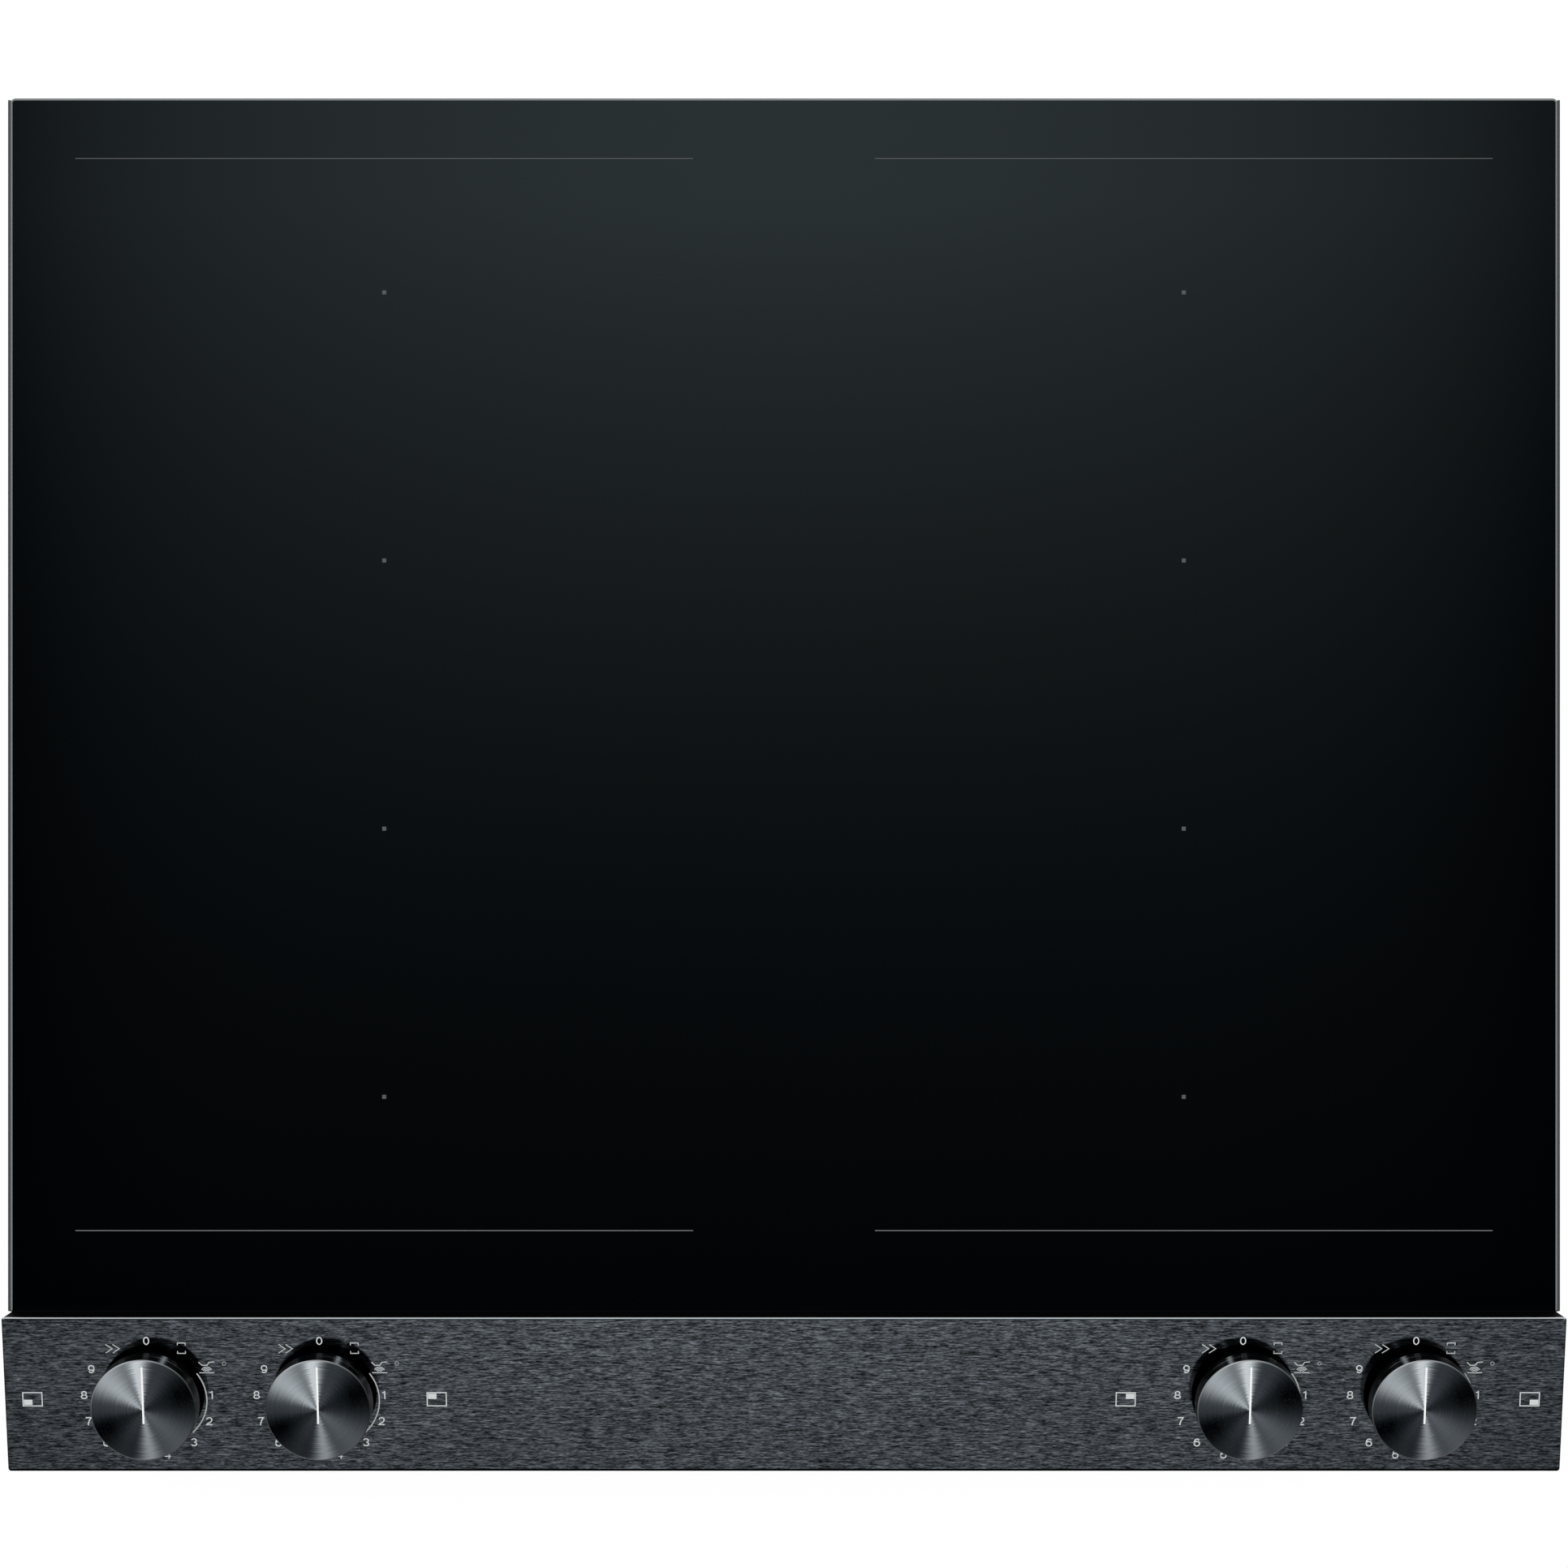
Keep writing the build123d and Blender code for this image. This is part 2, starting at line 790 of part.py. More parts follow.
def control_fascia():
    """Folded sheet with a sloping top, a front lip, a back wall and two end walls."""
    outer = panel_wedge(0, panel_skirt_gap)
    outer = fillet(outer.edges().filter_by(Axis.Z), panel_corner_radius)
    outer = fillet(outer.faces().sort_by(Axis.Z)[-1].edges(), panel_fold_radius)
    shell = outer - panel_wedge(panel_skin, panel_skirt_gap - overcut)
    step = block(
        (-half_width, half_width),
        (panel_back_y - panel_skin, panel_back_y),
        (panel_skirt_gap - overcut, frame_top),
    )
    holes = [on_panel(x) * Cylinder(bushing_radius + bushing_hole_gap, 8 * panel_skin) for x in knob_x]
    return shell - step - holes


def panel_carrier():
    """Moulded liner that backs the fascia, with windows for the encoders and board bosses."""
    outer = panel_wedge(panel_skin + carrier_gap, frame_top)
    inner = panel_wedge(panel_skin + carrier_gap + carrier_wall, frame_top - overcut)
    window = encoder_size + 2 * encoder_window_gap
    windows = [on_panel(x) * Box(window, window, 3 * encoder_height) for x in knob_x]
    top = -(panel_skin + carrier_gap + carrier_wall)
    reach = carrier_boss_size / 2
    boss = block((-reach, reach), (-reach, reach), (encoder_board_top, top + carrier_wall / 2))
    bosses = [on_panel(side * x, carrier_boss_rise) * boss for side in (-1, 1) for x in carrier_boss_x]
    return outer - inner - windows + bosses


def operating_board():
    middle = (operating_board_back - operating_board_front) / 2
    depth = operating_board_back + operating_board_front
    board = Box(outline_width - 2 * operating_board_end_gap, depth, board_thickness)
    return on_panel(0) * Pos(0, middle, encoder_board_top - board_thickness / 2) * board


def encoder():
    """Square encoder body with a threaded bushing, in the panel's local frame."""
    middle = encoder_board_top + encoder_height / 2
    body = Pos(0, 0, middle) * Box(encoder_size, encoder_size, encoder_height)
    bushing_length = bushing_height - middle
    bushing = Pos(0, 0, middle + bushing_length / 2) * Cylinder(bushing_radius, bushing_length)
    bore_length = bushing_height + shaft_depth + shaft_end_gap
    bore = Pos(0, 0, bushing_height - bore_length / 2) * Cylinder(shaft_radius + running_gap, bore_length)
    return body + bushing - bore


def light_ring():
    return extrude(Circle(ring_outer_radius) - Circle(ring_inner_radius), ring_height)


def at_knobs(piece):
    return group(on_panel(x) * piece for x in knob_x)


# Knobs

knob_rim = knob_face_height - knob_skirt
hub_start = bushing_height + hub_clearance
shaft_end = knob_face_height - knob_face_wall - shaft_end_gap


def d_section(radius, length):
    """Round bar with a flat on one side, standing on its own origin."""
    bar = Pos(0, 0, length / 2) * Cylinder(radius, length)
    flat = block((-radius, radius), (radius - shaft_flat, 2 * radius), (-overcut, length + overcut))
    return bar - flat


def pointer_bar():
    """Inlaid line that starts near the rim and runs just past the centre."""
    return block(
        (-pointer_width / 2, pointer_width / 2),
        (-pointer_back, pointer_out),
        (knob_face_height - pointer_depth, knob_face_height),
    )


def knob_cap():
    """Turned cap with a thin skirt, a hub with a D-shaped bore and a slot for the line."""
    cap = Pos(0, 0, knob_rim + knob_skirt / 2) * Cylinder(knob_radius, knob_skirt)
    cap = chamfer(cap.edges().sort_by(Axis.Z)[-1], knob_edge_bevel)
    hollow_height = knob_skirt - knob_face_wall
    hollow = Pos(0, 0, knob_rim + hollow_height / 2) * Cylinder(knob_radius - knob_wall, hollow_height)
    hub_height = knob_face_height - knob_face_wall - hub_start
    hub = Pos(0, 0, hub_start + hub_height / 2) * Cylinder(hub_radius, hub_height)
    bore = Pos(0, 0, hub_start) * d_section(shaft_radius + shaft_fit_gap, hub_height)
    return cap - hollow + hub - bore - pointer_bar()


def knob_shaft():
    lower = hub_start + shaft_depth
    round_part = Pos(0, 0, hub_start - lower / 2) * Cylinder(shaft_radius, lower)
    return round_part + Pos(0, 0, hub_start) * d_section(shaft_radius, shaft_end - hub_start)


# Mains terminal


def box_span():
    """X, Y and Z ranges of the terminal box in its pocket."""
    reach = pocket_width / 2 - box_gap
    front = tray_back_y - pocket_depth + box_gap
    return (
        (pocket_x - reach, pocket_x + reach),
        (front, tray_back_y - box_setback),
        (lid_thickness - tray_drop, pocket_height - tray_drop - box_gap),
    )


def terminal_box():
    """Moulded box, open below, with the cable's way in through its back wall."""
    x, y, z = box_span()
    hollow = block(
        (x[0] + box_wall, x[1] - box_wall),
        (y[0] + box_wall, y[1] - box_wall),
        (z[0] - overcut, z[1] - box_wall),
    )
    cable = Pos(cable_x, y[1], cable_z) * Rot(90, 0, 0) * Cylinder(cable_radius, 3 * box_wall)
    return block(x, y, z) - hollow - cable


def terminal_lid():
    x, y, z = box_span()
    return block(x, y, (z[0] - lid_thickness, z[0]))


def terminal_block():
    """Row of screw terminals with a partition between each pair."""
    x, y, z = box_span()
    top = z[1] - box_wall
    low_x = x[0] + 2 * box_wall
    low_y = y[0] + box_wall
    first_x = low_x + terminal_partition / 2
    width = terminal_count * terminal_pitch
    body = block(
        (low_x, low_x + width),
        (low_y, low_y + terminal_block_depth),
        (top - terminal_block_height, top),
    )
    cells = [
        block(
            (first_x + terminal_pitch * i, first_x + terminal_pitch * (i + 1) - terminal_partition),
            (low_y + terminal_back, low_y + terminal_block_depth + overcut),
            (top - terminal_block_height - overcut, top - terminal_block_height / 2),
        )
        for i in range(terminal_count)
    ]
    return body - cells


def cord_clamp():
    """Saddle that holds the cable just inside the box's back wall."""
    x, y, z = box_span()
    top = z[1] - box_wall
    back = y[1] - 2 * box_wall
    reach = cable_radius + 2 * clamp_wall
    body = block((cable_x - reach, cable_x + reach), (back - clamp_width, back), (cable_z, top))
    saddle = Pos(cable_x, back - clamp_width / 2, cable_z) * Rot(90, 0, 0)
    return body - saddle * Cylinder(cable_radius, 2 * clamp_width)


def build_parts():
    """Every node of the cooktop by name."""
    parts = {
        "glass_plate": glass_plate(),
        "sealing_tape": sealing_tape(),
        "carrier_frame": carrier_frame(),
        "silicone_beads": silicone_beads(),
        "base_tray": base_tray(),
        "mounting_clips": mounting_clips(),
        "mica_sheets": mica_sheets(),
        "coil_sensors": coil_sensors(),
        "ferrite_bars": ferrite_bars(),
        "rubber_buffers": rubber_buffers(),
        "tray_carrier": tray_carrier(),
        "power_components": power_components(),
        "filter_board": filter_board(),
        "blower_housing": blower_housing(),
        "blower_cover": blower_cover(),
        "blower_motor": blower_motor(),
        "blower_wheel": blower_wheel(),
        "control_fascia": control_fascia(),
        "panel_carrier": panel_carrier(),
        "operating_board": operating_board(),
        "rotary_encoders": at_knobs(encoder()),
        "light_rings": at_knobs(light_ring()),
        "terminal_box": terminal_box(),
        "terminal_lid": terminal_lid(),
        "terminal_block": terminal_block(),
        "cord_clamp": cord_clamp(),
    }
    for name, side in sides.items():
        parts[f"side_trim_{name}"] = side_trim(side)
        parts[f"coil_carrier_{name}"] = coil_carrier(side)
        parts[f"coil_plate_{name}"] = coil_plate(side)
        parts[f"power_board_{name}"] = power_board(side)
        parts[f"heat_sink_{name}"] = heat_sink(side)
        for number, y in enumerate(coil_y, 1):
            parts[f"coil_{name}_{number}"] = winding(side, y)
    for number, x in enumerate(knob_x, 1):
        parts[f"knob_cap_{number}"] = on_panel(x) * knob_cap()
        parts[f"knob_pointer_{number}"] = on_panel(x) * pointer_bar()
        parts[f"knob_shaft_{number}"] = on_panel(x) * knob_shaft()
    return parts


os.makedirs("parts", exist_ok=True)
for part_name, part_shape in build_parts().items():
    export_step(part_shape, f"parts/{part_name}.step")
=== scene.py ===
"""Looks of the electric induction cooktop: finishes, printed marks, small screws, light and camera.

Lengths are in metres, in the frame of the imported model: X to the right, Y to the back, Z up.
"""

import json
from math import atan2, degrees, e, pi

import bpy
import numpy as np
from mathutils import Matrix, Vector


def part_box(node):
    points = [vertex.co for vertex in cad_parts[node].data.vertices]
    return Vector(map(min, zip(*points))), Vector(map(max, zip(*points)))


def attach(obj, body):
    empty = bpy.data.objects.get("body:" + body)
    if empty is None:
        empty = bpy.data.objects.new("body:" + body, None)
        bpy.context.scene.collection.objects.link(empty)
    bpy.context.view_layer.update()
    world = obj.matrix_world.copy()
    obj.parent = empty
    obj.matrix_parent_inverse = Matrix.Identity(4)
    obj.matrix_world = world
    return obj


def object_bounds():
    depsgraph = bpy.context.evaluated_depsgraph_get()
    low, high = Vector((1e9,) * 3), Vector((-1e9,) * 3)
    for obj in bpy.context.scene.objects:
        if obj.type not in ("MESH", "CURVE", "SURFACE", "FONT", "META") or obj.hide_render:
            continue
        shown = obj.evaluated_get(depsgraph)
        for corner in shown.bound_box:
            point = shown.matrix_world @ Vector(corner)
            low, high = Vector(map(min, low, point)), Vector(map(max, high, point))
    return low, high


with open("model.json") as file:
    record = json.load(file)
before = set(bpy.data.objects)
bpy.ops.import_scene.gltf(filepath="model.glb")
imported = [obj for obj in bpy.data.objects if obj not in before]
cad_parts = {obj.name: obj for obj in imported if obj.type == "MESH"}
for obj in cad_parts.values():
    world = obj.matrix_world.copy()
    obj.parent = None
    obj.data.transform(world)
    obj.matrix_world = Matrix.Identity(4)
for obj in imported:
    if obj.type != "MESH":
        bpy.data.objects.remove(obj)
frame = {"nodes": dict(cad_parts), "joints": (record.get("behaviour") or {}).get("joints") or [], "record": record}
cad_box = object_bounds()
mm = 0.001

# Places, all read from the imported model
glass_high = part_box("glass_plate")[1]
panel_low, panel_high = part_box("control_fascia")
rail_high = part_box("side_trim_right")[1]
tray_low, tray_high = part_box("base_tray")
clip_low, clip_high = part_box("mounting_clips")
cap_low, cap_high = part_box("knob_cap_1")
knob_joints = [joint for joint in frame["joints"] if joint["name"].startswith("knob")]
knob_axes = [Vector(joint["pos_m"]) for joint in knob_joints]
panel_out = -Vector(knob_joints[0]["axis"]).normalized()
panel_right = Vector((1, 0, 0))
panel_up = panel_out.cross(panel_right)
panel_tilt = atan2(-panel_out.y, panel_out.z)
knob_radius = (cap_high.x - cap_low.x) / 2
knob_face = 12.4 * mm  # above the panel, along the knob's axis

# Camera, looking straight down on the glass
camera_distance = 1.15
camera_lens = 69.53
camera_y = -0.1 * mm

# Light that the floor and the surroundings send to the object, where white is 1
studio_grey = 0.84


# Meshes


def piece(name, shape, finish, body="hob"):
    """Mesh object at the origin from points and blocks of faces, riding on a body."""
    points, blocks = shape
    mesh = bpy.data.meshes.new(name)
    mesh.from_pydata(points.tolist(), [], [face for block in blocks for face in block.tolist()])
    mesh.materials.append(finish.material)
    made = bpy.data.objects.new(name, mesh)
    bpy.context.scene.collection.objects.link(made)
    if body:
        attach(made, body)
    return made


def joined(shapes):
    """One shape from several: each block of faces counts on from the points before it."""
    points = [shape[0] for shape in shapes]
    first = np.cumsum([0] + [len(part) for part in points])
    blocks = [block + start for start, shape in zip(first, shapes) for block in shape[1]]
    return np.concatenate(points), blocks


def moved(shape, place, right=(1, 0, 0), up=(0, 1, 0), out=(0, 0, 1)):
    """Shape turned to three directions and carried to a place."""
    points, blocks = shape
    return points @ np.array([right, up, out], float) + np.array(place, float), blocks


def rings_joined(rings, closed):
    """Shape from an array of rings of points: quads between neighbours, and a cap at each open end."""
    count, around = rings.shape[:2]
    first = np.arange(count if closed else count - 1)[:, None] * around
    here = np.arange(around)[None, :]
    then = (here + 1) % around
    after = (first + around) % (count * around)
    blocks = [np.stack([first + here, first + then, after + then, after + here], -1).reshape(-1, 4)]
    if not closed:
        blocks.append(np.stack([np.arange(around)[::-1], np.arange(around) + (count - 1) * around]))
    return rings.reshape(-1, 3), blocks


def ink_line(path, width, depth=0.04 * mm):
    """Printed line: a thin rectangle carried along a flat path, round and back if the path is closed.

    At a corner it stands on the mean normal of the two runs, made longer by two over that sum's square,
    so that the line keeps its width.
    """
    path = np.array(path, float)
    closed = bool(np.allclose(path[0], path[-1]))
    path = path[:-1] if closed else path
    ahead = np.roll(path, -1, 0) - path
    ahead /= np.linalg.norm(ahead, axis=1, keepdims=True)
    if not closed:
        ahead[-1] = ahead[-2]
    behind = np.roll(ahead, 1, 0)
    if not closed:
        behind[0] = ahead[0]
    sum_of_runs = ahead + behind
    normal = np.stack([-sum_of_runs[:, 1], sum_of_runs[:, 0]], -1)
    normal *= 2 / (normal**2).sum(1, keepdims=True)
    corners = ((0.5, -0.25), (0.5, 1.0), (-0.5, 1.0), (-0.5, -0.25))
    height = np.ones(len(path)) * depth
    edges = [np.column_stack([path + normal * width * x, height * z]) for x, z in corners]
    return rings_joined(np.stack(edges, 1), closed)


def lathe(profile, around, flutes=()):
    """Shape turned round Z: each radius and height of the profile becomes a ring.

    On the rings listed as flutes every third point stands further in, which gives a star recess.
    """
    radius, height = np.array(profile, float).T
    angle = np.arange(around) * 2 * pi / around
    star = np.ones((len(radius), around))
    star[list(flutes)] -= 0.22 * (np.arange(around) % 3 == 0)
    out = radius[:, None] * star
    rings = np.stack([out * np.cos(angle), out * np.sin(angle), height[:, None] + 0 * out], -1)
    return rings_joined(rings, False)


# Finishes

SEEING_RAYS = ("Camera", "Glossy", "Transmission")


class Wire:
    """Output socket of a node; an expression on wires adds its Math nodes."""

    def __init__(self, nodes, socket):
        self.nodes, self.socket = nodes, socket

    def math(self, operation, *values):
        """Result of a Math node on values or wires."""
        return self.nodes.node("Math", {"operation": operation}, values)

    def __add__(self, other):
        return self.math("ADD", self, other)

    def __sub__(self, other):
        return self.math("SUBTRACT", self, other)

    def __rsub__(self, other):
        return self.math("SUBTRACT", other, self)

    def __mul__(self, other):
        return self.math("MULTIPLY", self, other)

    def __truediv__(self, other):
        return self.math("DIVIDE", self, other)

    def __pow__(self, other):
        return self.math("POWER", self, other)

    def __rpow__(self, other):
        return self.math("POWER", other, self)

    def __abs__(self):
        return self.math("ABSOLUTE", self)

    __radd__, __rmul__ = __add__, __mul__

    def at_least(self, other):
        """The greater of the two."""
        return self.math("MAXIMUM", self, other)

    def wrapped(self, half):
        """Value brought between -half and half by whole turns of twice half."""
        return self.math("WRAP", self, half, -half)

    def above(self, level, soft):
        """0 below the level and 1 above it, with a straight ramp of the given width between."""
        sockets = {"Value": self, "From Min": level - soft / 2, "From Max": level + soft / 2}
        return self.nodes.node("MapRange", {"clamp": True}, sockets)

    def below(self, level, soft):
        """1 below the level and 0 above it."""
        return 1 - self.above(level, soft)

    def between(self, low, high, soft):
        """1 between two levels and 0 outside them."""
        return self.above(low, soft) * self.below(high, soft)

    def bell(self, centre, width):
        """e to the power of minus the square of the distance from the centre over the width."""
        away = (self - centre) / width
        return e ** (0 - away * away)


class Nodes:
    """A node tree and the ways to add to it."""

    def __init__(self, tree):
        self.tree = tree

    def node(self, kind, settings=None, sockets=(), out=None):
        """Adds a node: its settings first, then the values or wires of its sockets, by name or in order."""
        made = self.tree.nodes.new("ShaderNode" + kind)
        for key, value in (settings or {}).items():
            setattr(made, key, value)
        pairs = sockets.items() if isinstance(sockets, dict) else enumerate(sockets)
        for key, value in pairs:
            self.plug(made.inputs[key], value)
        live = [socket for socket in made.outputs if socket.enabled]
        return Wire(self, live[0] if out is None else made.outputs[out])

    def plug(self, socket, value):
        """Links a wire to a socket, or sets the socket's own value."""
        if isinstance(value, Wire):
            self.tree.links.new(value.socket, socket)
        elif socket.type == "RGBA":
            socket.default_value = (*value, 1)
        else:
            socket.default_value = value

    def axes(self, vector):
        """X, Y and Z of a vector."""
        parts = self.node("SeparateXYZ", None, [vector])
        return [Wire(self, socket) for socket in parts.socket.node.outputs]

    def looked_at(self):
        """1 for rays of the camera and those mirrored or let through, 0 for those that carry light."""
        return sum(self.node("LightPath", out=f"Is {kind} Ray") for kind in SEEING_RAYS)


class Finish(Nodes):
    """Material with one principled shader, whose varying colour, roughness and relief are fed to it."""

    def __init__(self, name, color=(0.5, 0.5, 0.5), roughness=0.5, metallic=0.0, **constants):
        self.material = bpy.data.materials.new(name)
        self.material.use_nodes = True
        super().__init__(self.material.node_tree)
        self.shader = self.tree.nodes["Principled BSDF"]
        self.feed("Base Color", color)
        self.feed("Roughness", roughness)
        self.feed("Metallic", metallic)
        for key, value in constants.items():
            self.feed(key.replace("_", " "), value)
        self.spot = self.node("TexCoord", out="Object")

    def feed(self, socket, value):
        """Sets or links a socket of the principled shader."""
        self.plug(self.shader.inputs[socket], value)

    def surface(self, shader):
        """Uses another shader than the principled one."""
        self.tree.links.new(shader.socket, self.tree.nodes["Material Output"].inputs["Surface"])

    def stretched(self, x, y, z):
        """Surface point multiplied by a factor per axis: a noise on it has grains 1/x long along X."""
        return self.node("Mapping", None, {"Vector": self.spot, "Scale": (x, y, z)})

    def vector(self, x=0.0, y=0.0, z=0.0):
        """Vector from three values or wires."""
        return self.node("CombineXYZ", None, [x, y, z])

    def grain(self, vector, scale=1.0, detail=2.0):
        """Noise between 0 and 1."""
        return self.node("TexNoise", None, {"Vector": vector, "Scale": scale, "Detail": detail}, "Fac")

    def cells(self, vector, scale):
        """Flat cells, each with its own number between 0 and 1."""
        cell = self.node("TexVoronoi", {"feature": "F1"}, {"Vector": vector, "Scale": scale}, "Color")
        return self.node("RGBToBW", None, [cell])

    def tint(self, mask, under, over):
        """Colour that goes from under to over with the mask."""
        mix = {"data_type": "RGBA", "clamp_factor": True}
        return self.node("Mix", mix, {0: mask, 6: under, 7: over}, 2)

    def shade(self, color, factor):
        """Colour multiplied by a varying number."""
        grey = self.node("CombineColor", None, [factor, factor, factor])
        multiply = {"data_type": "RGBA", "blend_type": "MULTIPLY"}
        return self.node("Mix", multiply, {0: 1.0, 6: color, 7: grey}, 2)

    def relief(self, height, depth, strength=1.0):
        """Bump from a height between 0 and 1 that stands for a depth in metres."""
        sockets = {"Height": height, "Distance": depth, "Strength": strength}
        self.feed("Normal", self.node("Bump", None, sockets))


def black_glass():
    """Tinted glass-ceramic: a deep gloss on top, a ground bevel round it and a dark sawn edge below.

    The bevel is what lies just under the top's height, and the edge what lies a bevel lower.
    """
    finish = Finish("black_glass", IOR=1.5)
    z = finish.axes(finish.spot)[2]
    bevel_drop, edge_drop, soft = 0.05 * mm, 1.03 * mm, 0.06 * mm
    bevel = z.below(glass_high.z - bevel_drop, soft)
    edge = z.below(glass_high.z - edge_drop, soft)
    smear = finish.grain(finish.stretched(9, 5, 9), 1.0, 4.0)
    speck = finish.grain(finish.spot, 900.0, 1.0)
    body = finish.tint(smear, (0.0003, 0.0006, 0.0010), (0.0006, 0.0010, 0.0016))
    ground = finish.tint(speck, (0.16, 0.17, 0.175), (0.21, 0.22, 0.225))
    finish.feed("Base Color", finish.tint(edge, finish.tint(bevel, body, ground), (0.018, 0.026, 0.023)))
    finish.feed("Roughness", 0.045 + smear * 0.03 + bevel * 0.3)
    return finish


def side_rail():
    """Dark anodised rail beside the glass, paler on its lip towards the glass; its outermost strip is painted near
    black as shade on the outer edge.
    """
    finish = Finish("side_rail", metallic=0.3)
    outer_shade_width = 0.42 * mm
    lip = abs(finish.axes(finish.spot)[0]).below(rail_high.x - outer_shade_width, 0.1 * mm)
    lines = finish.grain(finish.stretched(900, 20, 900), 1.0, 3.0)
    # Painted shade: the strip outside the lip is painted near black
    color = finish.tint(lip, (0.024, 0.026, 0.028), (0.095, 0.10, 0.104))
    finish.feed("Base Color", finish.shade(color, 0.85 + lines * 0.3))
    finish.feed("Roughness", 0.42 + lines * 0.12)
    finish.relief(lines, 0.01 * mm, 0.3)
    return finish


def brushed_panel():
    """Dark steel brushed along X.

    Two noises, stretched along X, set how bright each streak is: the colour goes with a power of their
    sum. The folds are smooth. A painted highlight lies along the back fold with a painted dark line of
    shade in front of it, the front and side folds are painted dark as shade, and the back wall is painted
    dull black as shade.
    """
    finish = Finish("brushed_panel", Specular_IOR_Level=0.03)
    coarse = finish.grain(finish.stretched(220, 1900, 1900), 1.0, 2.0) - 0.5
    fine = finish.grain(finish.stretched(680, 3200, 3200), 1.0, 1.0) - 0.5
    broad = finish.grain(finish.stretched(30, 110, 110), 1.0, 2.0) - 0.5
    streak = coarse * 2.5 + fine * 1.7 + broad * 0.25
    x, y, z = finish.axes(finish.spot)
    front_fold, side_fold, back_fold, fold_drop = 1.0 * mm, 0.6 * mm, 0.62 * mm, 0.6 * mm
    crease_from, crease_to, wall_skin, soft = 0.95 * mm, 0.7 * mm, 0.12 * mm, 0.12 * mm
    # Painted shade: where the front and side folds and the back wall are painted dark
    front = y.below(panel_low.y + front_fold, 0.2 * mm)
    side = abs(x).above(panel_high.x - side_fold, 0.3 * mm)
    wall = y.above(panel_high.y - wall_skin, 0.1 * mm) * z.below(panel_high.z - fold_drop, 0.2 * mm)
    # Painted highlight along the back fold, and a painted dark line of shade just in front of it
    fold_highlight = y.above(panel_high.y - back_fold, soft)
    crease_shade = y.between(panel_high.y - crease_from, panel_high.y - crease_to, soft)
    steel = finish.shade((0.0845, 0.091, 0.0985), (1 + streak).at_least(0.1) ** 2.2)
    steel = finish.tint(crease_shade, steel, (0.012, 0.013, 0.014))
    steel = finish.tint(fold_highlight, steel, (0.55, 0.57, 0.59))
    # All the painted shade of the folds and the back wall, near black
    dark = front.at_least(side).at_least(wall)
    finish.feed("Base Color", finish.tint(dark, steel, (0.0006, 0.0006, 0.0007)))
    finish.feed("Metallic", 1 - wall)
    finish.feed("Roughness", 0.09 + coarse * 0.06 + dark * 0.4)
    finish.relief(streak, 0.003 * mm, 0.3)
    return finish


# Painted fans of light (painted highlights and reflections) on a turned face: middle and width in degrees,
# anticlockwise from the right, and strength
PAINTED_FACE_FANS = (
    (140.5, 19.5, 0.61), (118, 16, 0.20), (95.5, 10, 1.05), (68, 22, 0.062), (180, 12, 0.05),
    (243, 20, 0.033), (277, 11, 0.41), (316, 31, 0.145),
)
RIM_HIGHLIGHT_FAN = (115, 50, 0.42)

# The same painted highlights for the side, but with the middle counted from the back towards the hob's centre
SIDE_HIGHLIGHT_STREAK = (22, 3.5, 0.26)
SIDE_HIGHLIGHT_GLOW = (27, 24, 0.27)


def fan(turn, middle, width, strength):
    """Bell over an angle in degrees, at its strongest in the middle."""
    return (turn - middle).wrapped(180).bell(0, width) * strength


